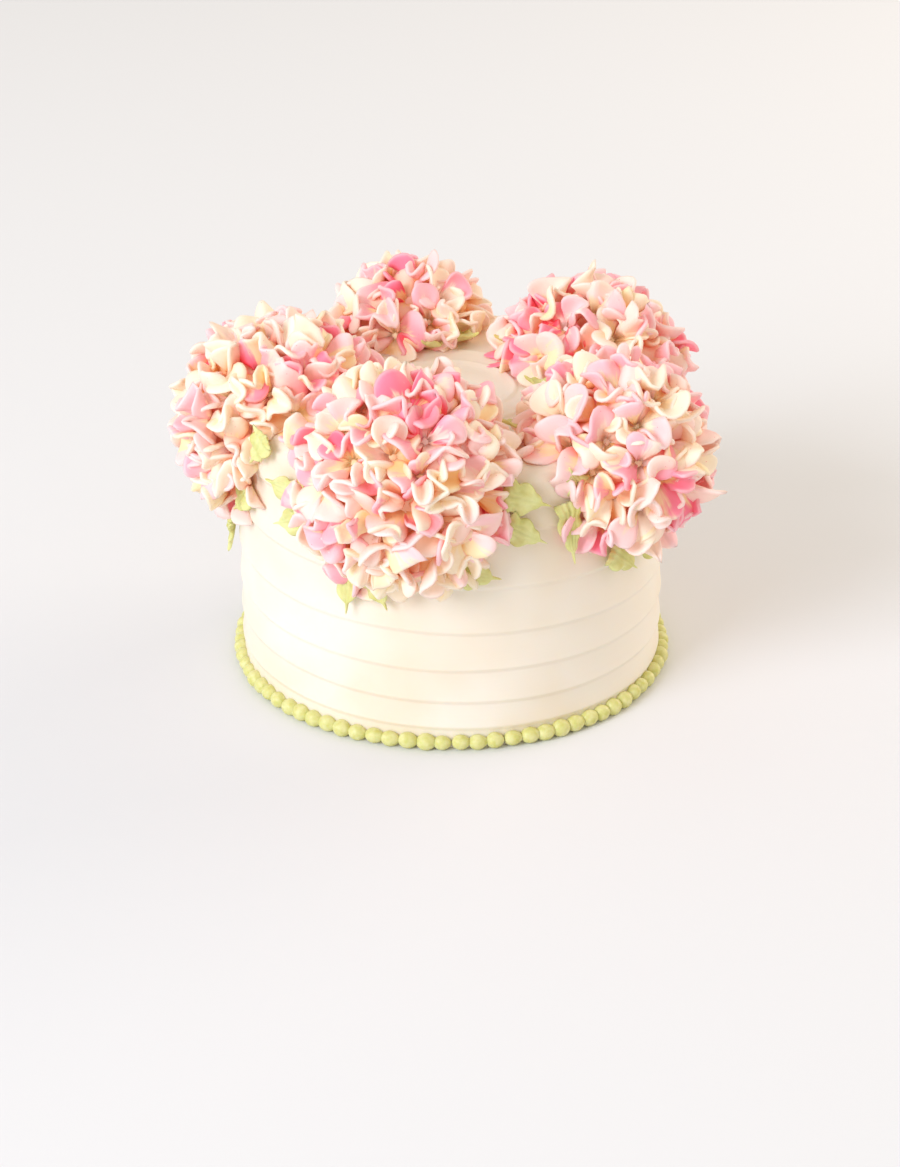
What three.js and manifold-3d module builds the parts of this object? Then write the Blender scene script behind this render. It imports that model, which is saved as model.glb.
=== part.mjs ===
// A round layer cake in ivory buttercream, crowned with a wreath of five piped hydrangea heads.
// Millimetres, +Z up. The origin is on the cake's axis at the middle of its flat base, and -Y is the front.
//
// The pieces, from the base up:
//   iced_cake        the uncut cake with its icing, one solid, with the spiral ridge that the spatula left
//   bead_border      the string of piped pearls that closes the joint at the foot of the cake
//   hydrangea_NAME   five domes of four-petalled florets that sit on the rim and hang over the side
//   leaf_NAME        piped leaves that look out from under the domes
import * as THREE from "three";
import Module from "manifold-3d";

const wasm = await Module();
wasm.setup();

// Driving dimensions of the cake
const cakeRadius = 80;
const cakeHeight = 107;
const rimRound = 5;
const ridgeDepth = 0.55; // how far a ridge stands out of the wall, and how far the groove under it goes in
const ridgeStep = 0.9; // the way down from a ridge's lip to the groove under it
const ridgeFade = 9; // the length over which the spiral starts and runs out
const ridgeHeights = [87, 65.2, 46.9, 32.3, 19.6, 8.5]; // the ridge on the front of the wall, turn by turn
const swirlRadii = [20.5, 31.5, 42.5]; // the ridge on the top, turn by turn, where it faces the front
const swirlStart = 15; // the middle of the top is plain
const swirlEnd = 50;
const frontTurn = 0.75; // the front is three quarters of a turn round from +X
const cakeColumns = 42;
const rimSteps = 3;
const roomColumns = 48; // of the room that is cut out of the heads for the cake
const clearance = 0.35; // the gap between touching pieces
const leafClearance = 0.7; // how much larger than itself a leaf's room in a head is, on every side

// Driving dimensions of the bead border
const beadCount = 80;
const beadRadius = 3.25;
const beadCentreHeight = 2.9;
const beadCentreOut = 0.5; // how far a bead's centre stands out of the wall
const beadSizes = [0.92, 1.06]; // the least and the most that a bead's size varies
const beadStations = [[0, 0.5], [0.3, 0.96], [0.7, 0.96]]; // the share of its radius, along it from its neck
const beadRound = [[0, 0.97], [0.72, 0.7], [1, -0.05]]; // its round face: the shares of its radius out and up
const beadFoot = 0.6; // where that face meets what the cake stands on, as the same share

// The hydrangea heads: azimuth about the cake's axis, distance of the centre from it, height of the centre
// and radius over the petals
const heads = [
  { name: "front", azimuth: -103.5, reach: 69.6, height: 100.5, radius: 42, id: 1 },
  { name: "right", azimuth: -37.5, reach: 72, height: 100.5, radius: 37.5, id: 2 },
  { name: "back_right", azimuth: 32, reach: 60.5, height: 99.5, radius: 40, id: 3 },
  { name: "back_left", azimuth: 106, reach: 63.5, height: 98.5, radius: 37.5, id: 4 },
  { name: "left", azimuth: 188, reach: 61.5, height: 98, radius: 42, id: 5 },
];
const petalHeight = 9; // how far the petals stand out of the core
const floretPitch = 22; // the spacing of floret centres, measured half way up the petals
const floretSink = 3; // how far inside the cake a floret's heart may lie, with its petals looking out
const floretJitter = [0.6, 5]; // how far it may stray: in steps of the lattice's height, and in degrees
const latticeShare = 0.866; // the share of a pitch squared that a floret takes on a full lattice
const petalsPerFloret = 4;
const petalRanges = {
  skew: [-11, 11], // degrees off its quarter of the floret
  length: [12.5, 16.5],
  spread: [33, 44], // degrees from its middle to its side
  rootRise: [4, 22], // how steeply it leaves the floret's heart, in degrees
  edgeRise: [22, 84], // how steeply it ends
  ruffle: [10, 38], // how far its edge waves about that, in degrees
  waves: [0.8, 1.7], // how many half waves it has from the middle to a side
  phase: [0, 360],
  lean: [0.02, 0.16], // how much higher one side is than the other
};
const leastBend = 0.05; // a petal never lies quite straight, in radians from root to edge
const petalCrown = 0.16; // how much shorter a petal is at its sides
const rimStations = [-0.72, 0.72]; // where the corners of a petal's edge lie, from side to side
const heartHeight = 1.2;
const valleyReach = 4; // where two petals part: how far out, and how far under the core's skin
const valleyDepth = 1;
const rootDepth = 5;
const seamGap = 0.3; // half the gap where two domes meet

// The leaves: which head each comes out from under, where its middle lies, which way it points, its length
// and its half width. One on the wall has a height, and its heading is 0 straight down and grows with the
// azimuth. One on the top has a radius instead, and its heading is an azimuth.
const leaves = [
  { head: "left", azimuth: -145, height: 103, heading: -30, length: 15, halfWidth: 5.5 },
  { head: "left", azimuth: -156, height: 77, heading: -40, length: 16, halfWidth: 5.5 },
  { head: "left", azimuth: -173, height: 60, heading: -25, length: 16, halfWidth: 5 },
  { head: "front", azimuth: -135, height: 93, heading: -100, length: 17, halfWidth: 6 },
  { head: "front", azimuth: -133, height: 81, heading: -70, length: 16, halfWidth: 5.5 },
  { head: "front", azimuth: -116, height: 63, heading: 0, length: 22, halfWidth: 5.5 },
  { head: "front", azimuth: -108, height: 63, heading: 30, length: 15, halfWidth: 5.5 },
  { head: "front", azimuth: -84, height: 71, heading: 80, length: 17, halfWidth: 6 },
  { head: "front", azimuth: -72, height: 98, heading: 70, length: 18, halfWidth: 6.5 },
  { head: "front", azimuth: -72, height: 85, heading: 60, length: 17, halfWidth: 5.5 },
  { head: "right", azimuth: -59, height: 102, heading: -150, length: 15, halfWidth: 5 },
  { head: "right", azimuth: -60, height: 82, heading: 5, length: 24, halfWidth: 5 },
  { head: "right", azimuth: -42, height: 64, heading: 45, length: 17, halfWidth: 6 },
  { head: "right", azimuth: -30, height: 62, heading: 30, length: 17, halfWidth: 6 },
  { head: "right", azimuth: -8, height: 80, heading: 50, length: 18, halfWidth: 6 },
  { head: "back_right", azimuth: 12, height: 66, heading: -35, length: 18, halfWidth: 6 },
  { head: "back_right", azimuth: 33, height: 60, heading: 10, length: 20, halfWidth: 5.5 },
  { head: "back_right", azimuth: 60, height: 76, heading: 55, length: 18, halfWidth: 6 },
  { head: "back_left", azimuth: 80, height: 86, heading: -60, length: 17, halfWidth: 6 },
  { head: "back_left", azimuth: 101, height: 63, heading: -10, length: 19, halfWidth: 6 },
  { head: "back_left", azimuth: 131, height: 80, heading: 50, length: 18, halfWidth: 5.5 },
  { head: "left", azimuth: 162, height: 72.5, heading: -45, length: 18, halfWidth: 6 },
  { head: "left", azimuth: 184, height: 52, heading: 5, length: 19, halfWidth: 5.5 },
  { head: "right", azimuth: -61, radius: 51, heading: 185, length: 17, halfWidth: 5 },
  { head: "back_left", azimuth: 103, radius: 35, heading: 235, length: 13, halfWidth: 5.5 },
  { head: "back_left", azimuth: 84, radius: 41, heading: 330, length: 15, halfWidth: 5.5 },
  { head: "back_right", azimuth: 61, radius: 44, heading: 215, length: 13, halfWidth: 4.5 },
  { head: "right", azimuth: -13, radius: 34, heading: 165, length: 14, halfWidth: 5 },
];
const leafThickness = 2.4;
const leafLift = 2.1; // how high the middle of a leaf's root lies over the cake
const leafTipRise = 2.6;
const leafEdgeRise = 1.1;
const leafBody = 0.75; // the share of its length where the round body ends and the drawn-out tip is left
const leafSpike = 0.26; // how wide the tip would be at the leaf's root, as a share of the body
const leafSpikePower = 0.6; // how it narrows: below 1 it stays wide and closes at the end
const leafCrimp = 0.7; // the waves along its edge, and how many there are
const leafCrimps = 2.6;
const leafScallop = 0.14; // how much the same waves widen and narrow it
const leafStations = [0, 0.26, 0.5, 0.72]; // where the sections of its mesh lie, from base to tip

// Colours of the buttercream
const ivory = new THREE.MeshStandardMaterial({ color: "#f7ead2", roughness: 0.45, metalness: 0 });
const pistachio = new THREE.MeshStandardMaterial({ color: "#c8cf7a", roughness: 0.45, metalness: 0 });
const blush = new THREE.MeshStandardMaterial({ color: "#f3bdb6", roughness: 0.5, metalness: 0 });
const leafGreen = new THREE.MeshStandardMaterial({ color: "#c3cd7c", roughness: 0.5, metalness: 0 });

const radians = THREE.MathUtils.degToRad;
const goldenAngle = Math.PI * (3 - Math.sqrt(5));

// A repeatable draw from 0 to 1: the fraction left by a large multiple of a sine
function draw(id, trait) {
  const x = Math.sin(id * 12.9898 + trait * 78.233) * 43758.5453;
  return x - Math.floor(x);
}

function between(low, high, share) {
  return low + (high - low) * share;
}

// Solids

// A closed solid from a list of triangles, each three points. Corners that coincide are merged, and a
// triangle that this leaves with two corners is dropped.
function solidFromTriangles(triangles) {
  const seen = new Map();
  const points = [];
  const index = [];
  const numberOf = (p) => {
    const key = p.map((x) => Math.round(x * 1e4)).join(",");
    if (!seen.has(key)) {
      seen.set(key, seen.size);
      points.push(...p);
    }
    return seen.get(key);
  };
  for (const triangle of triangles) {
    const [a, b, c] = triangle.map(numberOf);
    if (a !== b && b !== c && c !== a) index.push(a, b, c);
  }
  return new wasm.Manifold(
    new wasm.Mesh({
      numProp: 3,
      vertProperties: new Float32Array(points),
      triVerts: new Uint32Array(index),
    }),
  );
}

function quad(a, b, c, d) {
  return [
    [a, b, c],
    [a, c, d],
  ];
}

// The largest body of a solid, so that a scrap cut loose is dropped
function largestBody(solid) {
  return solid.decompose().reduce((best, body) => (body.volume() > best.volume() ? body : best));
}

function meshOf(name, solid, material) {
  const { vertProperties, triVerts } = solid.getMesh();
  const geometry = new THREE.BufferGeometry();
  geometry.setAttribute("position", new THREE.BufferAttribute(vertProperties, 3));
  geometry.setIndex(new THREE.BufferAttribute(triVerts, 1));
  const mesh = new THREE.Mesh(geometry, material);
  mesh.name = name;
  return mesh;
}

// The cake

// The outline as a path from the middle of the top, round the rim and down the wall: the point at a length
// along it, as its distance from the axis and its height
const topEnd = cakeRadius - rimRound;
const rimEnd = topEnd + (rimRound * Math.PI) / 2;
const wallEnd = rimEnd + cakeHeight - rimRound;

function outline(along, proud) {
  if (along <= topEnd) return [along, cakeHeight + proud];
  if (along >= rimEnd) return [cakeRadius + proud, cakeHeight - rimRound - (along - rimEnd)];
  const turn = (along - topEnd) / rimRound;
  const r = rimRound + proud;
  return [topEnd + r * Math.sin(turn), cakeHeight - rimRound + r * Math.cos(turn)];
}

// Where a spiral ridge lies after a number of turns, from its stops at the front, one for each turn
function spiral(stops, turns) {
  const n = Math.min(Math.max(Math.floor(turns - frontTurn), 0), stops.length - 2);
  return stops[n] + (stops[n + 1] - stops[n]) * (turns - frontTurn - n);
}

// A band of the outline that carries a spiral ridge: a lip, and a groove just past it, for each turn
function spiralBand(stops, start, end, pointAt) {
  const clamp = (along) => Math.min(Math.max(along, start), end);
  const relief = (along, side) =>
    side * ridgeDepth * Math.min(1, (along - start) / ridgeFade, (end - along) / ridgeFade);
  const triangles = [];
  const rowsAt = (turn) => {
    const rows = [];
    for (let k = -1; k <= stops.length; k++) {
      const lip = clamp(spiral(stops, k + turn));
      const groove = clamp(spiral(stops, k + turn) + ridgeStep);
      rows.push([lip, relief(lip, 1)], [groove, relief(groove, -1)]);
    }
    return [[start, 0], ...rows, [end, 0]];
  };
  for (let column = 0; column < cakeColumns; column++) {
    const here = rowsAt(column / cakeColumns);
    const next = rowsAt((column + 1) / cakeColumns);
    for (let row = 0; row + 1 < here.length; row++) {
      triangles.push(
        ...quad(
          pointAt(column, ...here[row]),
          pointAt(column, ...here[row + 1]),
          pointAt(column + 1, ...next[row + 1]),
          pointAt(column + 1, ...next[row]),
        ),
      );
    }
  }
  return triangles;
}

// A point of the cake's skin, by its column, its length along the outline and how far it stands proud
function skinPoint(column, along, proud) {
  const angle = (2 * Math.PI * (column % cakeColumns)) / cakeColumns;
  const [r, z] = outline(along, proud);
  return [r * Math.cos(angle), r * Math.sin(angle), z];
}

// A ring of the skin between two lengths along the outline, with no ridge
function plainBand(start, end) {
  const triangles = [];
  for (let column = 0; column < cakeColumns; column++) {
    triangles.push(
      ...quad(
        skinPoint(column, start, 0),
        skinPoint(column, end, 0),
        skinPoint(column + 1, end, 0),
        skinPoint(column + 1, start, 0),
      ),
    );
  }
  return triangles;
}

function icedCake() {
  const wallStops = ridgeHeights.map((height) => rimEnd + cakeHeight - rimRound - height);
  const triangles = plainBand(0, swirlStart);
  triangles.push(...spiralBand(swirlRadii, swirlStart, swirlEnd, skinPoint));
  triangles.push(...plainBand(swirlEnd, topEnd));
  for (let step = 0; step < rimSteps; step++) {
    const at = (share) => between(topEnd, rimEnd, share / rimSteps);
    triangles.push(...plainBand(at(step), at(step + 1)));
  }
  triangles.push(...spiralBand(wallStops, rimEnd, wallEnd, skinPoint));
  for (let column = 0; column < cakeColumns; column++) {
    triangles.push([skinPoint(column, wallEnd, 0), [0, 0, 0], skinPoint(column + 1, wallEnd, 0)]);
  }
  return solidFromTriangles(triangles);
}

// A closed solid of revolution from a profile of [radius, height] points that starts and ends on the axis
function turned(profile, columns) {
  const triangles = [];
  const at = (column, [r, z]) => {
    const angle = (2 * Math.PI * (column % columns)) / columns;
    return [r * Math.cos(angle), r * Math.sin(angle), z];
  };
  for (let column = 0; column < columns; column++) {
    for (let row = 0; row + 1 < profile.length; row++) {
      triangles.push(
        ...quad(
          at(column, profile[row]),
          at(column, profile[row + 1]),
          at(column + 1, profile[row + 1]),
          at(column + 1, profile[row]),
        ),
      );
    }
  }
  return solidFromTriangles(triangles);
}

// The room that the cake takes from what lies on it: its outline, grown past the ridges and the clearance
function cakeRoom() {
  const grown = ridgeDepth + clearance;
  const rim = [0, 0.5, 1].map((share) => outline(between(topEnd, rimEnd, share), grown));
  return turned([[0, cakeHeight + grown], ...rim, [cakeRadius + grown, -1], [0, -1]], roomColumns);
}

// The bead border

// One section of the bead string: flat against the wall and the plate, round where it shows
function beadSection(angle, size) {
  const wall = cakeRadius + ridgeDepth + clearance;
  const r = beadRadius * size;
  const round = beadRound.map(([out, up]) => [beadCentreOut + r * out, beadCentreHeight + r * up]);
  round[0][0] = 0;
  return [[0, 0], ...round, [beadCentreOut + r * beadFoot, 0]].map(([out, z]) => [
    (wall + out) * Math.cos(angle),
    (wall + out) * Math.sin(angle),
    z,
  ]);
}

function beadBorder() {
  const sections = [];
  for (let bead = 0; bead < beadCount; bead++) {
    const size = between(...beadSizes, draw(bead, 5));
    for (const [share, width] of beadStations) {
      sections.push(beadSection((2 * Math.PI * (bead + share)) / beadCount, width * size));
    }
  }
  const triangles = [];
  sections.forEach((section, i) => {
    const next = sections[(i + 1) % sections.length];
    section.forEach((point, j) => {
      const k = (j + 1) % section.length;
      triangles.push(...quad(point, section[k], next[k], next[j]));
    });
  });
  return solidFromTriangles(triangles);
}

// The hydrangea heads

function headCentre(head) {
  const angle = radians(head.azimuth);
  return new THREE.Vector3(head.reach * Math.cos(angle), head.reach * Math.sin(angle), head.height);
}

// How far a point is outside the cake: above the top or past the wall, whichever is more
function outsideCake(point) {
  return Math.max(point.z - cakeHeight, Math.hypot(point.x, point.y) - cakeRadius);
}

// The plane where two neighbouring domes meet, as its unit normal towards the second and its distance
// from the origin along that normal
function seam(head, other) {
  const a = headCentre(head);
  const b = headCentre(other);
  const normal = b.clone().sub(a);
  const apart = normal.length();
  normal.divideScalar(apart);
  const share = (apart * apart + head.radius ** 2 - other.radius ** 2) / (2 * apart);
  return { normal, distance: a.dot(normal) + share };
}

// The florets of a head, spread evenly over its core by the golden angle, each with its frame
function floretsOf(head) {
  const centre = headCentre(head);
  const core = head.radius - petalHeight;
  const middle = head.radius - petalHeight / 2;
  const count = Math.round((4 * Math.PI * middle ** 2) / (latticeShare * floretPitch ** 2));
  const others = heads.filter((other) => other !== head);
  const florets = [];
  for (let i = 0; i < count; i++) {
    const id = head.id * 100 + i;
    const stray = (trait, most) => between(-most, most, draw(id, trait));
    const height = 1 - (2 * i + 1 + stray(1, floretJitter[0])) / count;
    const angle = i * goldenAngle + radians(stray(2, floretJitter[1]));
    const flat = Math.sqrt(1 - height * height);
    const normal = new THREE.Vector3(flat * Math.cos(angle), flat * Math.sin(angle), height);
    const base = normal.clone().multiplyScalar(core).add(centre);
    const clearOfSeams = others.every((other) => {
      const { normal: across, distance } = seam(head, other);
      return base.dot(across) < distance;
    });
    if (outsideCake(base) < -floretSink || !clearOfSeams) continue;
    const spin = draw(id, 3) * Math.PI;
    const side = new THREE.Vector3(-normal.y, normal.x, 0).normalize();
    const rise = normal.clone().cross(side);
    const first = side.multiplyScalar(Math.cos(spin)).addScaledVector(rise, Math.sin(spin));
    const second = normal.clone().cross(first);
    florets.push({ id, base, normal, first, second });
  }
  return florets;
}

// What one petal is like: a value drawn from each range
function petalTraits(id, petal) {
  const traits = {};
  Object.entries(petalRanges).forEach(([name, range], i) => {
    traits[name] = between(...range, draw(id * 10 + petal, i + 1));
  });
  return traits;
}

// A point of a petal, as [out, across, up] from the floret's centre. u runs from root to edge, v from side to
// side. The petal is a fan whose rays bend upwards from the root's rise to the edge's, and the ruffle varies
// that bend.
function petalPoint(traits, u, v) {
  const reach = traits.length * (1 - petalCrown * v * v);
  const wave = Math.sin(Math.PI * traits.waves * v + radians(traits.phase));
  const root = radians(traits.rootRise);
  const bend = Math.max(radians(traits.edgeRise + traits.ruffle * wave) - root, leastBend) * u;
  const chord = (reach * u) / bend;
  const out = chord * (Math.sin(root + bend) - Math.sin(root));
  const up = chord * (Math.cos(root) - Math.cos(root + bend));
  const fan = radians(traits.spread) * v;
  return [out * Math.cos(fan), out * Math.sin(fan), up + traits.lean * reach * u * v];
}

// One floret as a solid: petals thick at the heart and sharp at the edge, with valleys between them
function floretSolid(floret) {
  const place = (turn, [out, across, up]) =>
    floret.base
      .clone()
      .addScaledVector(floret.first, out * Math.cos(turn) - across * Math.sin(turn))
      .addScaledVector(floret.second, out * Math.sin(turn) + across * Math.cos(turn))
      .addScaledVector(floret.normal, up)
      .toArray();
  const heart = place(0, [0, 0, heartHeight]);
  const root = place(0, [0, 0, -rootDepth]);
  const valley = (petal) =>
    place((2 * Math.PI * (petal + 0.5)) / petalsPerFloret, [valleyReach, 0, -valleyDepth]);
  const triangles = [];
  for (let petal = 0; petal < petalsPerFloret; petal++) {
    const traits = petalTraits(floret.id, petal);
    const before = valley(petal - 1);
    const after = valley(petal);
    const turn = (2 * Math.PI * petal) / petalsPerFloret + radians(traits.skew);
    const rim = rimStations.map((v) => place(turn, petalPoint(traits, 1, v)));
    const edge = [before, ...rim, after];
    for (let i = 0; i + 1 < edge.length; i++) {
      triangles.push([heart, edge[i], edge[i + 1]]);
      if (i > 0) triangles.push([before, edge[i + 1], edge[i]]);
    }
    triangles.push([root, after, before]);
  }
  return solidFromTriangles(triangles);
}

function coreSolid(head, radius) {
  const geometry = new THREE.IcosahedronGeometry(radius, 1);
  const corners = geometry.getAttribute("position");
  const centre = headCentre(head);
  const triangles = [];
  for (let i = 0; i < corners.count; i += 3) {
    triangles.push(
      [i, i + 1, i + 2].map((k) =>
        new THREE.Vector3().fromBufferAttribute(corners, k).add(centre).toArray(),
      ),
    );
  }
  return solidFromTriangles(triangles);
}

function headSolid(head, room, leafRooms) {
  const florets = floretsOf(head).map(floretSolid);
  let solid = wasm.Manifold.union([coreSolid(head, head.radius - petalHeight), ...florets]);
  solid = solid.subtract(room);
  for (const leafRoom of leafRooms) solid = solid.subtract(leafRoom);
  for (const other of heads) {
    if (other === head) continue;
    const { normal, distance } = seam(head, other);
    if (headCentre(head).distanceTo(headCentre(other)) > head.radius + other.radius) continue;
    solid = solid.trimByPlane(normal.clone().negate().toArray(), -(distance - seamGap));
  }
  return largestBody(solid);
}

// The leaves

// A point of a leaf, as [along, across, above the cake]. u runs from base to tip, v from edge to edge, and
// face is 1 above, -1 below and 0 on the sharp edge. The blade is a shallow gutter with a round body, a
// scalloped and crimped edge, and a narrow tip that is drawn out and raised. The margin makes all of it larger
// on every side.
function leafPoint(leaf, seed, margin, u, v, face) {
  const body = Math.sqrt(Math.max(1 - (u / leafBody) ** 2, 0));
  const wave = 2 * Math.PI * (leafCrimps * u + seed);
  const spike = leafSpike * (1 - u) ** leafSpikePower;
  const share = Math.cbrt((body * (1 + leafScallop * Math.cos(wave))) ** 3 + spike ** 3);
  const crimp = leafEdgeRise + leafCrimp * Math.sin(wave);
  const rise = body * crimp * (1 + (2 * margin) / leaf.halfWidth);
  const middle = leafLift + leafTipRise * u * u + rise * Math.abs(v);
  const half = (leafThickness / 2) * (1 - u / 2) + margin;
  const width = leaf.halfWidth * share + 2 * margin; // twice, as the edge is sharp
  return [(leaf.length + 2 * margin) * (u - 0.5), width * v, middle + half * face];
}

// Puts a leaf's point on the cake's top or round its wall
function leafPlacer(leaf) {
  const angle = radians(leaf.azimuth);
  const heading = radians(leaf.heading);
  const ahead = Math.cos(heading);
  const aside = Math.sin(heading);
  if (leaf.radius !== undefined) {
    return ([along, across, above]) => [
      leaf.radius * Math.cos(angle) + along * ahead - across * aside,
      leaf.radius * Math.sin(angle) + along * aside + across * ahead,
      cakeHeight + above,
    ];
  }
  return ([along, across, above]) => {
    const round = angle + (along * aside + across * ahead) / cakeRadius;
    const r = cakeRadius + above;
    return [r * Math.cos(round), r * Math.sin(round), leaf.height - along * ahead + across * aside];
  };
}

function leafSolid(leaf, seed, margin) {
  const place = leafPlacer(leaf);
  const at = (u, v, face) => place(leafPoint(leaf, seed, margin, u, v, face));
  const tip = at(1, 0, 0);
  const base = at(0, 0, 0);
  const triangles = [];
  for (const face of [1, -1]) {
    for (const edge of [-1, 1]) {
      const turn = face * edge > 0;
      const add = (a, b, c) => triangles.push(turn ? [a, b, c] : [a, c, b]);
      leafStations.forEach((u, i) => {
        const mid = at(u, 0, face);
        const rim = at(u, edge, 0);
        if (i === 0) add(base, mid, rim);
        if (i + 1 < leafStations.length) {
          const nextMid = at(leafStations[i + 1], 0, face);
          const nextRim = at(leafStations[i + 1], edge, 0);
          add(mid, nextMid, nextRim);
          add(mid, nextRim, rim);
        } else {
          add(mid, tip, rim);
        }
      });
    }
  }
  return solidFromTriangles(triangles);
}

// The assembly

const cake = new THREE.Group();
cake.name = "hydrangea_cake";
cake.add(meshOf("iced_cake", icedCake(), ivory));
cake.add(meshOf("bead_border", beadBorder(), pistachio));

const coreRooms = heads.map((head) => coreSolid(head, head.radius - petalHeight + clearance));
const leafRooms = [];
const leafCounts = {};
for (const [i, leaf] of leaves.entries()) {
  let solid = leafSolid(leaf, draw(i, 7), 0);
  for (const room of [...coreRooms, ...leafRooms]) solid = solid.subtract(room);
  leafRooms.push(leafSolid(leaf, draw(i, 7), leafClearance));
  leafCounts[leaf.head] = (leafCounts[leaf.head] ?? 0) + 1;
  cake.add(meshOf(`leaf_${leaf.head}_${leafCounts[leaf.head]}`, largestBody(solid), leafGreen));
}

const room = cakeRoom();
for (const head of heads) {
  cake.add(meshOf(`hydrangea_${head.name}`, headSolid(head, room, leafRooms), blush));
}

export default cake;
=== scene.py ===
# %% [markdown]
# # A layer cake with a wreath of buttercream hydrangeas
# The cake is a tall round tier in ivory buttercream. A spatula has left one shallow spiral ridge on its wall and
# another on its top, a string of pistachio pearls closes its foot, and five domes of piped hydrangea florets sit
# on its rim with a few leaves under them. The solids give every place and size. This script gives each of them
# its real surface. Lengths are in millimetres until the last step of each mesh, where they become metres.

# %% The frame: the solids, and the box that they fill
import math

import bmesh
import bpy
import numpy as np
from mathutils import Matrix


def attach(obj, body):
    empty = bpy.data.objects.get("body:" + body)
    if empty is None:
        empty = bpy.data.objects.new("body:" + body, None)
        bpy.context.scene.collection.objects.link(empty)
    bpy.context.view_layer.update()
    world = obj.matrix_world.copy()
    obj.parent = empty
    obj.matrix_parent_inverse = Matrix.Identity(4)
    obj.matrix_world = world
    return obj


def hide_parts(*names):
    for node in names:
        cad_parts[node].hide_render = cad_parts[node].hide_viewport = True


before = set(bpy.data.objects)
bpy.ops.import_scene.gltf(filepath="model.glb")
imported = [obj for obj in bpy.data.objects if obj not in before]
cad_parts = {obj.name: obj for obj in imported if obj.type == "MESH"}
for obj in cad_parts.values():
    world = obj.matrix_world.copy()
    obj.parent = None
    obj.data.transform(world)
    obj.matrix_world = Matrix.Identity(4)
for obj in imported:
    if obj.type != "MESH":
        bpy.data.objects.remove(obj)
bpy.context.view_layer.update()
MM = 0.001

# %% [markdown]
# ## The camera
# The picture was taken with a long lens from a little above the cake, so the side wall hardly narrows towards
# its foot and the top shows as a flat ellipse. A camera could be aimed with a constraint, but two angles and a
# place are all that it needs: it looks along +Y and down.

# %% Camera
CAMERA_PLACE = (-0.5, -837, 454)
CAMERA_PITCH = 27.11
LENS = 75.4
SENSOR = 36
CAKE_MIDDLE = (0, 0, 60)

camera = bpy.data.objects.new("camera", bpy.data.cameras.new("camera"))
camera.data.lens = LENS
camera.data.sensor_width = SENSOR
camera.location = [x * MM for x in CAMERA_PLACE]
camera.rotation_euler = (math.radians(90 - CAMERA_PITCH), 0, 0)
bpy.context.scene.collection.objects.link(camera)
bpy.context.scene.camera = camera
print("camera", round(math.dist(CAMERA_PLACE, CAKE_MIDDLE)), "mm from the cake")

# %% [markdown]
# ## Colours, nodes and meshes
# Colours are written as the hex values that a paint chart would show, and one function makes them linear, which
# is what a renderer adds and multiplies. One function adds any shader node, with its settings and its links. The
# mesh helpers turn arrays of points into faces and finished pieces. It could be done face by face, but whole
# arrays are faster and shorter.


# %% Colour and node helpers
def linear(colour):
    """An sRGB hex colour as linear values: a channel is divided by 12.92 near black, and a power of 2.4 above."""
    channels = [int(colour[i : i + 2], 16) / 255 for i in (1, 3, 5)]
    return [c / 12.92 if c <= 0.04045 else ((c + 0.055) / 1.055) ** 2.4 for c in channels] + [1.0]


def fill(node, inputs):
    """Sets or links a node's inputs. A node given for one of them stands for its first output in use."""
    for name, value in inputs.items():
        if isinstance(value, bpy.types.Node):
            value = next(output for output in value.outputs if output.enabled)
        if isinstance(value, bpy.types.NodeSocket):
            node.id_data.links.new(value, node.inputs[name])
        else:
            node.inputs[name].default_value = value


def add_node(tree, kind, inputs=None, stops=None, **settings):
    """Adds a node of a kind, as Blender names it without ShaderNode, with its settings, its inputs and, for a
    colour ramp, its stops."""
    node = tree.nodes.new("ShaderNode" + kind)
    for name, value in settings.items():
        setattr(node, name, value)
    fill(node, inputs or {})
    if stops:
        ramp = node.color_ramp.elements
        while len(ramp) < len(stops):
            ramp.new(0.5)
        for element, (place, colour) in zip(ramp, stops):
            element.position = place
            element.color = linear(colour)
    return node


def new_material(name):
    """A material with an empty Principled shader, and its node tree."""
    material = bpy.data.materials.new(name)
    material.use_nodes = True
    return material, material.node_tree, material.node_tree.nodes["Principled BSDF"]


print("a mid grey of #808080 is", round(linear("#808080")[0], 3), "as a linear value")


# %% Mesh helpers
def grid_faces(rows, columns, wrap=False):
    """The quads of a grid of points kept row after row; with wrap, the last column joins the first."""
    row, column = np.meshgrid(np.arange(rows - 1), np.arange(columns - (not wrap)), indexing="ij")
    here = row * columns + column
    beside = row * columns + (column + 1) % columns
    return np.stack([here, beside, beside + columns, here + columns], -1).reshape(-1, 4)


SEAM = 0.002  # points nearer than this are one, where a wall of points meets itself


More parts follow.
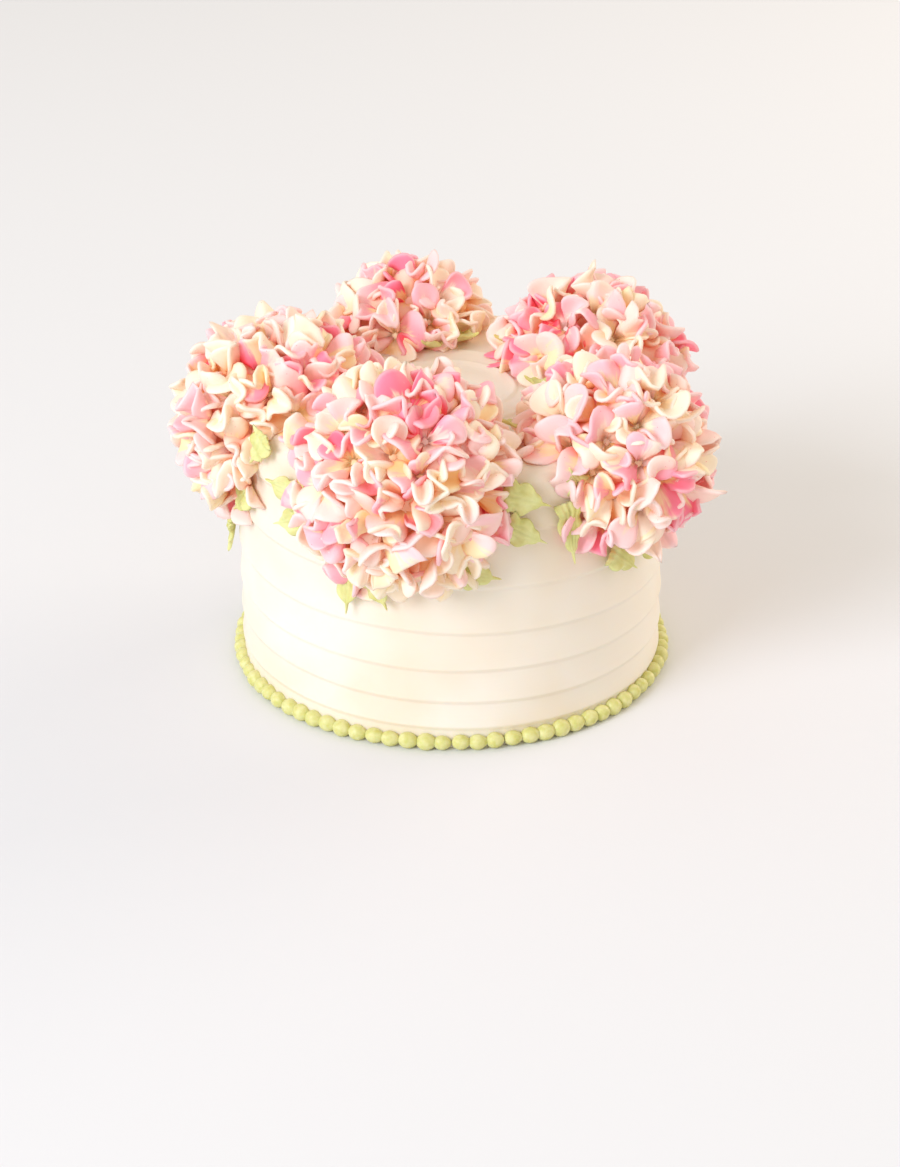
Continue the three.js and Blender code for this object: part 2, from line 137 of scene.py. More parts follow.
def add_piece(name, points, faces, nodes, material, uv=None, values=None, merge=False):
    """Makes a piece of the cake from points in millimetres, with its UV map, attributes, material and frame calls."""
    mesh = bpy.data.meshes.new(name)
    mesh.from_pydata((np.asarray(points).reshape(-1, 3) * MM), [], faces)
    if uv is not None:
        corners = np.empty(len(mesh.loops), np.int64)
        mesh.loops.foreach_get("vertex_index", corners)
        flat = uv.reshape(-1, 2)[corners].astype(np.float32)
        mesh.uv_layers.new(name="surface").data.foreach_set("uv", flat.ravel())
    for key, value in (values or {}).items():
        kind = "FLOAT" if value.ndim == 1 else "FLOAT_VECTOR"
        layer = mesh.attributes.new(key, kind, "POINT")
        layer.data.foreach_set("value" if value.ndim == 1 else "vector", value.astype(np.float32).ravel())
    if merge:
        shell = bmesh.new()
        shell.from_mesh(mesh)
        bmesh.ops.remove_doubles(shell, verts=shell.verts, dist=SEAM * MM)
        bmesh.ops.recalc_face_normals(shell, faces=shell.faces)
        shell.to_mesh(mesh)
        shell.free()
    mesh.polygons.foreach_set("use_smooth", np.ones(len(mesh.polygons), bool))
    mesh.materials.append(material)
    mesh.update()
    piece = bpy.data.objects.new(name, mesh)
    bpy.context.scene.collection.objects.link(piece)
    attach(piece, "root")
    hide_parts(*nodes)
    triangles = sum(len(p.vertices) - 2 for p in mesh.polygons)
    print(name, triangles, "triangles")


print("a grid of 3 by 4 points has", len(grid_faces(3, 4)), "quads")

# %% [markdown]
# ## Ivory buttercream
# Butter and sugar beaten smooth: a soft satin surface that light goes a few millimetres into, so its shadows are
# warm and its thin lips glow. A plain diffuse shader would look like plaster, so the shader scatters light under
# the surface, red the furthest. The ivory is a little deeper here and there, where the butter isn't quite mixed
# in, and the spatula leaves faint long marks along its path, a tenth of a millimetre deep.

# %% Buttercream
CREAM_IOR = 1.46  # butterfat
CREAM_SPECULAR = 0.35  # air beaten in makes the surface a little duller than plain fat
CREAM_ROUGHNESS = 0.5
CREAM_SCATTER = (1.0, 0.74, 0.5)
CREAM_BUMP = 0.35  # soft cream has no crisp marks


def buttercream(name, depth, weight, roughness=CREAM_ROUGHNESS):
    """A Principled shader set as buttercream: how many millimetres light goes in, how much of it does, and gloss."""
    material, tree, shader = new_material(name)
    shader.subsurface_method = "RANDOM_WALK"
    fill(shader, {"Subsurface Weight": weight, "Subsurface Radius": CREAM_SCATTER, "Subsurface Scale": depth * MM})
    fill(shader, {"Roughness": roughness, "IOR": CREAM_IOR, "Specular IOR Level": CREAM_SPECULAR})
    return material, tree, shader


print("buttercream: IOR", CREAM_IOR, "and roughness", CREAM_ROUGHNESS)

# %% The icing's ivory, and the spatula's marks
ICING_COLOUR = "#efe6d7"
ICING_DEEP = "#ebddc7"
ICING_DEPTH = 2.5
ICING_CLOUDS = 22  # how many deeper places there are to a metre
MARK_WIDTH = 0.9  # spatula marks, across
MARK_LENGTH = 60  # and along
MARK_DEPTH = 0.12

icing, tree, shader = buttercream("ivory_buttercream", ICING_DEPTH, weight=0.35)
place = add_node(tree, "TexCoord").outputs["Object"]
along = add_node(tree, "Attribute", attribute_name="along").outputs["Fac"]
stretch = add_node(tree, "VectorMath", {0: place, 1: [1 / (MARK_LENGTH * MM)] * 2 + [0]}, operation="MULTIPLY")
across = add_node(tree, "Math", {0: along, 1: 1 / MARK_WIDTH}, operation="MULTIPLY")
split = add_node(tree, "SeparateXYZ", {"Vector": stretch})
path = add_node(tree, "CombineXYZ", {"X": split.outputs["X"], "Y": split.outputs["Y"], "Z": across})
marks = add_node(tree, "TexNoise", {"Vector": path, "Scale": 1.0, "Detail": 3.0, "Roughness": 0.6})
clouds = add_node(tree, "TexNoise", {"Vector": place, "Scale": ICING_CLOUDS, "Detail": 2.0})
tone = add_node(tree, "ValToRGB", {"Fac": clouds}, stops=[(0.35, ICING_DEEP), (0.6, ICING_COLOUR)])
bump = add_node(tree, "Bump", {"Height": marks, "Strength": CREAM_BUMP, "Distance": MARK_DEPTH * MM})
fill(shader, {"Base Color": tone, "Normal": bump})
print("icing: light goes", ICING_DEPTH, "mm in")

# %% [markdown]
# ## The iced cake
# A baker holds a spatula against the turning cake and draws it slowly up the wall, and then inwards over the top.
# Each turn leaves a thin lip where it passed the last one. The surface could be displaced by a texture, but the
# lip is sharper than a texture would keep it, so the rows of the mesh follow the spiral: each band runs from just
# under one lip to the next, and most of its rows lie close to the lip.

# %% Values between two ends
def between(low, high, share):
    """The value that lies a share of the way from low to high."""
    return low + (high - low) * share


def smooth(share):
    """An ease from 0 to 1: 3 s squared less 2 s cubed, held at its ends."""
    s = np.clip(share, 0, 1)
    return s * s * (3 - 2 * s)


print("a quarter of the way, an ease has come", float(smooth(0.25)))

# %% Cake sizes, as the solid has them
CAKE_RADIUS = 80
CAKE_HEIGHT = 107
RIM_ROUND = 5
RIDGE_DEPTH = 0.4  # half the height from the groove to the lip
RIDGE_STEP = 2.1  # how far it takes to drop from one to the other
RIDGE_CLIMB = 2  # the power at which the icing climbs from a groove to the next lip
RIDGE_FADE = 9  # how far a ridge takes to run out at its ends
RIDGE_HEIGHTS = np.array([87, 65.2, 46.9, 32.3, 19.6, 8.5])
SWIRL_RADII = np.array([20.5, 31.5, 42.5])
SWIRL_START = 15
SWIRL_END = 50
FRONT_TURN = 0.75  # the turn at which the heights and radii above hold: the front
TOP_END = CAKE_RADIUS - RIM_ROUND
RIM_END = TOP_END + RIM_ROUND * math.pi / 2
WALL_END = RIM_END + CAKE_HEIGHT - RIM_ROUND
print("from the middle of the top to the foot:", round(WALL_END, 1), "mm")

# %% The ridge's line and its section
CAKE_COLUMNS = 256
STEP_ROWS = np.array([-0.8, -0.35, 0, 0.3, 0.65, 1, 1.35, 1.7, 2.1, 2.6])  # millimetres past the lip
BAND_ROWS = np.array([0.12, 0.3, 0.5, 0.68, 0.82, 0.93])  # shares of the way to the next lip's first row
WANDER = 0.45  # how far a lip strays from its spiral


def outline(along, proud):
    """The radius and height at a length along the outline from the middle of the top: flat, a quarter round, down."""
    turn = np.clip((along - TOP_END) / RIM_ROUND, 0, math.pi / 2)
    round_reach = RIM_ROUND + proud
    radius = np.where(along < TOP_END, along, TOP_END + round_reach * np.sin(turn))
    height = CAKE_HEIGHT - RIM_ROUND + round_reach * np.cos(turn) - np.maximum(along - RIM_END, 0)
    return radius, height


def spiral(stops, turns):
    """Where the ridge lies after some turns: between the stops of the two turns on either side."""
    n = np.clip(np.floor(turns - FRONT_TURN), 0, len(stops) - 2).astype(int)
    return stops[n] + (stops[n + 1] - stops[n]) * (turns - FRONT_TURN - n)


def lip_line(stops, turns):
    """The lip's real line: the spiral, strayed by a sum of slow sines so that it looks drawn by hand."""
    angle = 2 * math.pi * turns
    stray = 0.5 * np.sin(1.7 * angle + 0.4) + 0.3 * np.sin(3.1 * angle + 2.0) + 0.2 * np.sin(7.3 * angle)
    return spiral(stops, turns) + WANDER * stray


def relief(past, gap):
    """How far the icing stands proud, from 1 at a lip to -1 in the groove just past it and up again to the next."""
    drop = 1 - 2 * smooth(past / RIDGE_STEP)
    climb = -1 + 2 * np.clip((past - RIDGE_STEP) / (gap - RIDGE_STEP), 0, 1) ** RIDGE_CLIMB
    return np.where(past < 0, climb, np.where(past < RIDGE_STEP, drop, climb))


proud = [round(RIDGE_DEPTH * float(relief(past, 15)), 2) for past in (0, 1, 2, 8, 15)]
print("at 0, 1, 2, 8 and 15 mm past a lip the icing stands proud by", proud, "mm")


# %% The rows of a band that carries a spiral ridge
def spiral_rows(stops, start, end):
    """Rows of lengths along the outline, and how far each stands proud, for every column of one band."""
    turn = np.linspace(0, 1, CAKE_COLUMNS + 1)
    rows, heights = [np.full_like(turn, start)], [np.zeros_like(turn)]
    for k in range(-1, len(stops) + 1):
        lip = lip_line(stops, k + turn)
        gap = lip_line(stops, k + 1 + turn) - lip
        before = lip - lip_line(stops, k - 1 + turn)
        band = between(STEP_ROWS[-1], gap + STEP_ROWS[0], BAND_ROWS[:, None])
        pasts = np.concatenate([STEP_ROWS[:, None] + 0 * gap, band])
        depth = relief(np.where(pasts < 0, before + pasts, pasts), np.where(pasts < 0, before, gap))
        rows.extend(lip + pasts)
        heights.extend(depth)
    rows, heights = np.array(rows + [np.full_like(turn, end)]), np.array(heights + [np.zeros_like(turn)])
    rows = np.clip(rows, start, end)
    fade = np.minimum(1, np.minimum(rows - start, end - rows) / RIDGE_FADE)
    return rows, RIDGE_DEPTH * heights * fade


SWELL = 0.16  # how uneven the whole surface is
SWELL_FADES = (12, 4)  # over how far that starts from the middle, and ends at the foot


def plain_rows(start, end, count):
    """Rows of a band with no ridge."""
    rows = np.linspace(start, end, count)[:, None] + np.zeros(CAKE_COLUMNS + 1)
    return rows, 0 * rows


def unevenness(angle, along):
    """Slow swells of the icing, in millimetres: a sum of sines round the cake and along its outline."""
    swell = 0.5 * np.sin(2 * angle + 0.6 + along / 31) + 0.3 * np.sin(5 * angle + 1.1 - along / 17)
    return SWELL * (swell + 0.2 * np.sin(9 * angle + along / 9))


print("the swirl takes", len(spiral_rows(SWIRL_RADII, SWIRL_START, SWIRL_END)[0]), "rows")

# %% The cake's surface
TOP_ROWS = 6  # of each flat band
RIM_ROWS = 7
SWIRL_GAP = 3  # from the swirl to the next row

wall_stops = RIM_END + CAKE_HEIGHT - RIM_ROUND - RIDGE_HEIGHTS
bands = [
    plain_rows(0, SWIRL_START - 1, TOP_ROWS),
    spiral_rows(SWIRL_RADII, SWIRL_START, SWIRL_END),
    plain_rows(SWIRL_END + SWIRL_GAP, TOP_END, TOP_ROWS),
    plain_rows(TOP_END + 1, RIM_END - 1, RIM_ROWS),
    spiral_rows(wall_stops, RIM_END, WALL_END),
]
rows = np.concatenate([band[0] for band in bands])
proud = np.concatenate([band[1] for band in bands])
angle = np.linspace(0, 2 * math.pi, CAKE_COLUMNS + 1)
ease = smooth(rows / SWELL_FADES[0]) * smooth((WALL_END - rows) / SWELL_FADES[1])
radius, height = outline(rows, proud + unevenness(angle, rows) * ease)
skin = np.stack([radius * np.cos(angle), radius * np.sin(angle), height], -1)
base = np.zeros((1, CAKE_COLUMNS + 1, 3))
points = np.concatenate([skin, base])
lengths = np.concatenate([rows, np.full((1, CAKE_COLUMNS + 1), WALL_END + CAKE_RADIUS)])
add_piece(
    "iced_tier",
    points,
    grid_faces(len(points), CAKE_COLUMNS + 1)[:, ::-1],
    ["iced_cake"],
    icing,
    values={"along": lengths.ravel()},
    merge=True,
)

# %% [markdown]
# ## Pistachio pearls
# A round nozzle held at the foot of the cake: the baker squeezes, lets the pearl swell, and drags its tail down
# under the next one. A sphere with one end drawn out has the shape. Copies of one pearl would look like beads on
# a string, so all of them are worked out in one array, each with its own size, girth, tail and place. The cream
# is the icing's own, tinted with pistachio green and a little glossier, as it is freshly pressed. Green cream is
# never quite evenly mixed, so one noise varies both its tint and its surface.

# %% Green buttercream, and the pearls' own
GREEN_DEPTH = 1.6
GREEN_WEIGHT = 0.3


def green_buttercream(name, roughness, grains, tones, strength, height):
    """Buttercream whose tones and bumps follow one noise of so many grains to a metre, and how strong and high the
    bumps are."""
    cream, tree, shader = buttercream(name, GREEN_DEPTH, GREEN_WEIGHT, roughness)
    place = add_node(tree, "TexCoord").outputs["Object"]
    noise = add_node(tree, "TexNoise", {"Vector": place, "Scale": grains, "Detail": 3.0})
    tone = add_node(tree, "ValToRGB", {"Fac": noise}, stops=tones)
    bump = add_node(tree, "Bump", {"Height": noise, "Strength": strength, "Distance": height * MM})
    fill(shader, {"Base Color": tone, "Normal": bump})
    return cream


PEARL_TONES = [(0.3, "#cbc974"), (0.7, "#dfdc9f")]
pearl_cream = green_buttercream("pistachio_buttercream", 0.38, 420, PEARL_TONES, strength=0.2, height=0.15)
print("pearls:", pearl_cream.name)

# %% Draws and copies
DRAW_STRIDES = (12.9898, 78.233)  # far from whole numbers, so that neighbours share no pattern
DRAW_SCALE = 43758.5453


def draw(number, trait):
    """A repeatable value from 0 to 1: the fraction left by a large multiple of a sine of the two numbers."""
    x = np.sin(number * DRAW_STRIDES[0] + trait * DRAW_STRIDES[1]) * DRAW_SCALE
    return x - np.floor(x)


def repeated(faces, points_each, count):
    """The faces of many copies of one form whose points follow each other."""
    return (faces[None] + points_each * np.arange(count)[:, None, None]).reshape(-1, faces.shape[1])


print("the first draws:", [round(float(draw(1, trait)), 2) for trait in range(4)])

# %% Pearls
BEAD_COUNT = 80
BEAD_RADIUS = 3.25
BEAD_CENTRE_HEIGHT = 2.9
BEAD_CENTRE_OUT = 0.5
BEAD_SIZES = (0.92, 1.06)
BEAD_GIRTHS = (0.86, 1.02)
BEAD_LENGTH = 1.06
BEAD_STRAY = 0.12  # how far a pearl strays along the string, as a share of the pitch
BEAD_LIFTS = (-0.15, 0.2)
TAILS = (0.2, 1)  # how strongly the tail is drawn out
TAIL_START = 0.15  # where it starts, from the pearl's middle at 0 to its end at 1
TAIL_THIN = 0.45  # how much of its girth the strongest tail loses
TAIL_REACH = 0.34  # and how much longer it is
AGAINST_WALL = 0.98  # pressed a little flat by the wall
CLEARANCE = 0.35
BEAD_RINGS = 13
BEAD_SIDES = 16

bead = np.arange(BEAD_COUNT)[:, None, None]
size = BEAD_RADIUS * between(*BEAD_SIZES, draw(bead, 5))
t = np.linspace(-1, 1, BEAD_RINGS)[None, :, None]
around = np.linspace(0, 2 * math.pi, BEAD_SIDES, endpoint=False)[None, None, :]
tail = between(*TAILS, draw(bead, 21)) * smooth((t - TAIL_START) / (1 - TAIL_START))
plump = between(*BEAD_GIRTHS, draw(bead, 24))
girth = plump * np.sqrt(np.maximum(1 - t * t, 0)) * (1 - TAIL_THIN * tail * smooth(t))
forward = size * (BEAD_LENGTH * t + TAIL_REACH * tail)
spot = 2 * math.pi * (bead + 0.5 + BEAD_STRAY * (draw(bead, 22) - 0.5)) / BEAD_COUNT
wall = CAKE_RADIUS + RIDGE_DEPTH + CLEARANCE
out = wall + BEAD_CENTRE_OUT + AGAINST_WALL * size * girth * np.cos(around)
up = BEAD_CENTRE_HEIGHT + between(*BEAD_LIFTS, draw(bead, 23)) + size * girth * np.sin(around)
turn = spot + forward / wall
points = np.stack(np.broadcast_arrays(out * np.cos(turn), out * np.sin(turn), np.maximum(up, 0)), -1)
pearl_faces = repeated(grid_faces(BEAD_RINGS, BEAD_SIDES, wrap=True), BEAD_RINGS * BEAD_SIDES, BEAD_COUNT)
add_piece("pearl_string", points, pearl_faces, ["bead_border"], pearl_cream, merge=True)

# %% [markdown]
# ## Two-tone petals
# The piping bag holds ivory, peach and pink buttercream side by side, so every petal comes out striped: a pale
# root and a blush edge, or pink on one side and cream on the other, with the one dragged into the other in fine
# streaks by the nozzle. The stripes bend with the petal, so they are read from its own UV map, from side to side
# and from root to edge. Three draws for each petal, kept as an attribute, choose its colours and the way they
# are split. An image could be painted, but it would be stretched by each petal in its own way.

# %% Petal colours
LIGHT_STOPS = [(0.1, "#fffbe9"), (0.35, "#fff3cb"), (0.6, "#ffebb8"), (0.75, "#fff0e0"), (0.9, "#ffe6de")]
DEEP_STOPS = [
    (0.2, "#fff6dc"),
    (0.38, "#ffefd8"),
    (0.52, "#ffe6da"),
    (0.66, "#ffd8d8"),
    (0.82, "#ffb8c6"),
    (0.98, "#ff8ca6"),
]
DRIFT = 0.9  # how strongly whole patches of a dome turn pinker or creamier
DRIFT_SIZE = 32  # and how wide those patches are

petal_cream, tree, shader = buttercream("blush_buttercream", depth=1.0, weight=0.0)
place = add_node(tree, "TexCoord").outputs["Object"]
surface = add_node(tree, "UVMap", uv_map="surface")
side = add_node(tree, "SeparateXYZ", {"Vector": surface})
draws = add_node(tree, "Attribute", attribute_name="petal_draws")
pick = add_node(tree, "SeparateXYZ", {"Vector": draws.outputs["Vector"]})
drift = add_node(tree, "TexNoise", {"Vector": place, "Scale": 1 / (DRIFT_SIZE * MM), "Detail": 1.0})
drifts = add_node(tree, "Math", {0: drift, 1: DRIFT, 2: -DRIFT / 2}, operation="MULTIPLY_ADD")
light = add_node(tree, "ValToRGB", {"Fac": pick.outputs["X"]}, stops=LIGHT_STOPS)
pinker = add_node(tree, "Math", {0: pick.outputs["Y"], 1: drifts}, operation="ADD")
deep = add_node(tree, "ValToRGB", {"Fac": pinker}, stops=DEEP_STOPS)
print(len(LIGHT_STOPS), "pale and", len(DEEP_STOPS), "deeper colours")

# %% Where one colour of a petal runs into the other
SPLIT_KINDS = (0.3, 0.5)  # draws below these are split from side to side, and draws above from root to edge
SPLIT_BAND = (0.65, 0.9)  # where the deeper colour starts and where it has taken over
SPLIT_WANDER = 8  # how long the wobbles of the line between them are
WANDERS = 0.5  # and how strong
STREAKS = 0.6  # how far the streaks of the nozzle carry one colour into the other
STREAK_NOISE = 5.0
STREAK_SCALE = (2.2, 0.2, 0.0)  # a petal is about 15 mm wide, so a streak is 1 to 2 mm across and runs its length

kind = add_node(
    tree,
    "MapRange",
    {"Value": pick.outputs["Z"], "From Min": SPLIT_KINDS[0], "From Max": SPLIT_KINDS[1]},
    interpolation_type="SMOOTHSTEP",
)
run = add_node(tree, "Mix", {"Factor": kind, "A": side.outputs["X"], "B": side.outputs["Y"]})
wander = add_node(tree, "TexNoise", {"Vector": place, "Scale": 1 / (SPLIT_WANDER * MM), "Detail": 2.0})
strayed = add_node(tree, "Math", {0: wander, 1: WANDERS, 2: run}, operation="MULTIPLY_ADD")
laid = add_node(
    tree, "VectorMath", {0: surface, 1: STREAK_SCALE, 2: draws.outputs["Vector"]}, operation="MULTIPLY_ADD"
)
streak = add_node(tree, "TexNoise", {"Vector": laid, "Scale": STREAK_NOISE, "Detail": 3.0})
streaked = add_node(tree, "Math", {0: streak, 1: STREAKS, 2: strayed}, operation="MULTIPLY_ADD")
start, end = (share + STREAKS / 2 for share in SPLIT_BAND)
band = add_node(
    tree,
    "MapRange",
    {"Value": streaked, "From Min": start, "From Max": end},
    interpolation_type="SMOOTHSTEP",
)
two_tone = add_node(tree, "Mix", {"Factor": band, "A": light, "B": deep}, data_type="RGBA")
print("a streak takes up", round(1 / (STREAK_NOISE * STREAK_SCALE[0]), 2), "of a petal's width")

# %% Painted light on the thin edges, and specks of colour that the beater left
# Painted light: the thin edge of each petal is made paler, as light coming through it would make it look.
EDGE_LIGHT_COLOUR = "#fff1ea"
EDGE_ZONE = (0.9, 0.99)  # the thin edge of a petal, where light comes through, as shares of its length
EDGE_LIGHT_SHARE = 0.35
SPECK_COLOUR = "#e0718a"
SPECK_GAP = 3.2
SPECK_SIZE = 0.22
SPECK_SHARE = 0.75

# The painted edge light, mixed in near the edge of each petal.
rim = add_node(
    tree,
    "MapRange",
    {"Value": side.outputs["Y"], "From Min": EDGE_ZONE[0], "From Max": EDGE_ZONE[1], "To Max": EDGE_LIGHT_SHARE},
    interpolation_type="SMOOTHSTEP",
)
edge_lit = add_node(tree, "Mix", {"Factor": rim, "A": two_tone, "B": linear(EDGE_LIGHT_COLOUR)}, data_type="RGBA")
dots = add_node(tree, "TexVoronoi", {"Vector": place, "Scale": 1 / (SPECK_GAP * MM)})
reach = SPECK_SIZE / SPECK_GAP
speck = add_node(
    tree, "MapRange", {"Value": dots, "From Min": reach / 2, "From Max": reach, "To Min": SPECK_SHARE, "To Max": 0.0}
)
specked = add_node(tree, "Mix", {"Factor": speck, "A": edge_lit, "B": linear(SPECK_COLOUR)}, data_type="RGBA")
print("specks", SPECK_GAP, "mm apart")

# %% [markdown]
# ### Painted shade and glow between the petals
# Down between the petals, light is coloured again each time it bounces, so pale pink cream turns a deep salmon
# there. The renderer follows those bounces, but the real cream also passes light from petal to petal inside it,
# which would take a much longer render. So that shade is painted: each point keeps how high it stands over its
# dome's core, and the lower it is, the higher the power that its colour is raised to, with painted orange shade
# mixed in. A tenth of the light goes through the thin petals, and a faint painted glow stands for what comes
# from inside.

# %% Painted crevice shade, grain and painted glow
# Painted shade between the petals: the lower a point, the more its colour is darkened by a power and mixed with
# orange.
CREVICE_TOP = 0.68  # how high the deeper colour reaches, as a share of the petals' height
CREVICE_POWER = 2.1  # what the deepest place adds to that power
CREVICE_SHADE_COLOUR = "#e8541c"
CREVICE_SHADE_SHARE = 0.5
PETAL_GLOW = 0.1  # the share of light that goes through the thin cream
# A painted glow: the petals give off a faint light of their own.
PAINTED_GLOW_COLOUR = "#ff9f8a"
PAINTED_GLOW_STRENGTH = 0.02
PETAL_GRAIN = 1.5
RELIEF_DEPTH = 0.15
STREAK_RELIEF = 2.0  # how much stronger the streaks are than the grain

depth = add_node(tree, "Attribute", attribute_name="petal_height")
# How much painted crevice shade each point gets, from how high it stands.
crevice = add_node(
    tree,
    "MapRange",
    {"Value": depth.outputs["Fac"], "From Max": CREVICE_TOP, "To Min": 1.0, "To Max": 0.0},
    interpolation_type="SMOOTHSTEP",
)
power = add_node(tree, "Math", {0: crevice, 1: CREVICE_POWER, 2: 1.0}, operation="MULTIPLY_ADD")
deepened = add_node(tree, "Gamma", {"Color": specked, "Gamma": power})
painted_shade_share = add_node(tree, "Math", {0: crevice, 1: CREVICE_SHADE_SHARE}, operation="MULTIPLY")
finished = add_node(tree, "Mix", {"Factor": painted_shade_share, "A": deepened, "B": linear(CREVICE_SHADE_COLOUR)}, data_type="RGBA")
grain = add_node(tree, "TexNoise", {"Vector": place, "Scale": 1 / (PETAL_GRAIN * MM), "Detail": 3.0})
texture = add_node(tree, "Math", {0: streak, 1: STREAK_RELIEF, 2: grain}, operation="MULTIPLY_ADD")
bump = add_node(tree, "Bump", {"Height": texture, "Strength": CREAM_BUMP, "Distance": RELIEF_DEPTH * MM})
fill(shader, {"Base Color": finished, "Normal": bump})
# The painted glow, as a faint emission of the cream itself.
fill(shader, {"Emission Color": linear(PAINTED_GLOW_COLOUR), "Emission Strength": PAINTED_GLOW_STRENGTH})
glow = add_node(tree, "BsdfTranslucent", {"Color": finished})
both = add_node(tree, "MixShader", {0: PETAL_GLOW, 1: shader, 2: glow})
fill(tree.nodes["Material Output"], {"Surface": both})
print("glow:", PETAL_GLOW, "of the light goes through a petal")

# %% [markdown]
# ## Petals
# A petal nozzle lays a thin fan: thick at the heart, thin at the edge, and ruffled by the turning hand. The fan's
# rays climb from root to edge and roll back at the very edge, and a wave from side to side makes that climb vary,
# so the edge ruffles. Modelling a few petals by hand and copying them would show the copies, so each petal draws
# its own values. It is a thin closed form: two grids of points, one for each side, that share their border, so
# there is no open edge and no seam.

# %% Thin closed forms
def lens_grid(rows, columns):
    """A closed thin form from two grids that share their border: its triangles, and how many points it has.
    Each quad is cut along the diagonal that points at the grid's middle, so that no corner of the border closes on
    itself."""
    top = np.arange(rows * columns).reshape(rows, columns)
    bottom = top.copy()
    inner = (rows - 2) * (columns - 2)
    bottom[1:-1, 1:-1] = rows * columns + np.arange(inner).reshape(rows - 2, columns - 2)
    quads = grid_faces(rows, columns)
    row, column = np.divmod(quads[:, 0], columns)
    turned = (row < (rows - 1) / 2) != (column < (columns - 1) / 2)
    quads[turned] = np.roll(quads[turned], 1, axis=1)
    triangles = np.concatenate([quads[:, [0, 1, 2]], quads[:, [0, 2, 3]]])
    return np.concatenate([triangles, bottom.ravel()[triangles][:, ::-1]]), rows * columns + inner


def lens_points(upper, lower):
    """The points of a closed thin form in lens_grid's order: the whole upper grid, then the lower grid's inside."""
    shape = upper.shape[:-3]
    inside = lower[..., 1:-1, 1:-1, :]
    return np.concatenate([upper.reshape(*shape, -1, 3), inside.reshape(*shape, -1, 3)], -2)


print("a leaf of 3 by 4 points has", len(lens_grid(3, 4)[0]), "triangles")

# %% The domes, and the ranges that each petal draws from
# Each dome's middle about the cake, its radius, its number for the draws, and how much pinker than usual it is.
HEADS = {
    "front": {"azimuth": -103.5, "reach": 69.6, "height": 100.5, "radius": 42, "id": 1, "blush": 0},
    "right": {"azimuth": -37.5, "reach": 72, "height": 100.5, "radius": 37.5, "id": 2, "blush": 0.08},
    "back_right": {"azimuth": 32, "reach": 60.5, "height": 99.5, "radius": 40, "id": 3, "blush": 0.14},
    "back_left": {"azimuth": 106, "reach": 63.5, "height": 98.5, "radius": 37.5, "id": 4, "blush": -0.06},
    "left": {"azimuth": 188, "reach": 61.5, "height": 98, "radius": 42, "id": 5, "blush": 0.02},
}
PETAL_HEIGHT = 12  # from a dome's core to its outside
PETALS_PER_FLORET = 4
PETAL_RANGES = {
    "skew": (-14, 14),  # how far a petal is turned from its own quarter of the floret, in degrees
    "length": (12.5, 17.5),
    "spread": (42, 58),  # from the fan's middle to its sides, in degrees
    "root_rise": (-4, 44),  # how steeply a ray leaves the heart
    "edge_rise": (30, 98),  # and how steep it has grown at the edge
    "ruffle": (12, 52),  # how much that climb varies from side to side, in degrees
    "waves": (0.7, 1.7),  # in how many waves
    "phase": (0, 360),
    "lean": (0.02, 0.24),  # how much higher one side is, as a share of the length
    "roll": (0, 80),  # how far the edge rolls back, in degrees
    "cup": (-0.2, 0.42),  # how much the sides lift, as a share of the length
    "tip": (-0.6, 0.28),  # how far a point is pulled out of the edge, where it is above 0
    "tip_side": (-8.1, 8.1),  # which column of the fan runs into that point, counted from the middle
    "notch": (-0.2, 0.2),  # how deep the middle of the edge is pinched, where it is above 0
}
print(len(HEADS), "domes, and", len(PETAL_RANGES), "draws for the shape of a petal")

# %% The middle surface of a petal
PETAL_SHOULDER = 0.42  # how long the sides are, as a share of the length
CORNER_POWER = 2.2  # how round the corners are: 2 is an ellipse, and more is squarer
TIP_WIDTH = 0.15  # of the point, and next of the pinch, where half the fan's width is 1
NOTCH_WIDTH = 0.3
CUP_REST = 0.4  # how far out, as v squared, a cupped petal keeps its height
ROLL_START = 0.55  # where the edge starts to roll back, as a share of the length
RAY_STEPS = 24
RAY_PICKS = [1, 9, 16, 20, 23, 24]  # the steps that become rows of the mesh
SIDE_STEPS = 36
SIDE_SKIP = 2  # every second of these becomes a column of the mesh


def petal_sheet(traits, u, v):
    """The petal's middle surface as out, across and up from the floret's heart, for petals, rows and columns.
    The outline is a fan with round shoulders, with a small point or a pinch in some. The slope of a ray grows from
    the root's rise to the edge's, varied by a sine of v, and falls back by the roll near the edge. The ray is the
    running sum of short steps at that slope, and the rays fan out with v."""
    wave = np.sin(math.pi * traits["waves"] * v + np.radians(traits["phase"]))
    shoulder = PETAL_SHOULDER + (1 - PETAL_SHOULDER) * np.sqrt(np.maximum(1 - np.abs(v) ** CORNER_POWER, 0))
    tip_side = np.sin(math.pi * np.round(traits["tip_side"]) / (SIDE_STEPS / SIDE_SKIP))
    tip = np.maximum(traits["tip"], 0) * np.exp(-np.abs(v - tip_side) / TIP_WIDTH)
    pinch = np.maximum(traits["notch"], 0) * np.exp(-((v / NOTCH_WIDTH) ** 2))
    reach = traits["length"] * (shoulder + tip - pinch)
    climb = traits["root_rise"] + (traits["edge_rise"] + traits["ruffle"] * wave - traits["root_rise"]) * u
    slope = np.radians(climb - traits["roll"] * smooth((u - ROLL_START) / (1 - ROLL_START)))
    middle = 0.5 * (slope[:, 1:] + slope[:, :-1])
    start = np.zeros_like(slope[:, :1])
    step = reach / (u.shape[1] - 1)
    out = np.concatenate([start, np.cumsum(np.cos(middle) * step, 1)], 1)
    up = np.concatenate([start, np.cumsum(np.sin(middle) * step, 1)], 1)
    up = up + reach * u * (traits["lean"] * v + traits["cup"] * u * (v**2 - CUP_REST))
    fan = np.radians(traits["spread"]) * v
    return np.stack([out * np.cos(fan), out * np.sin(fan), up], -1)


print("a petal has", len(RAY_PICKS), "rows of", SIDE_STEPS // SIDE_SKIP + 1, "points on each side")

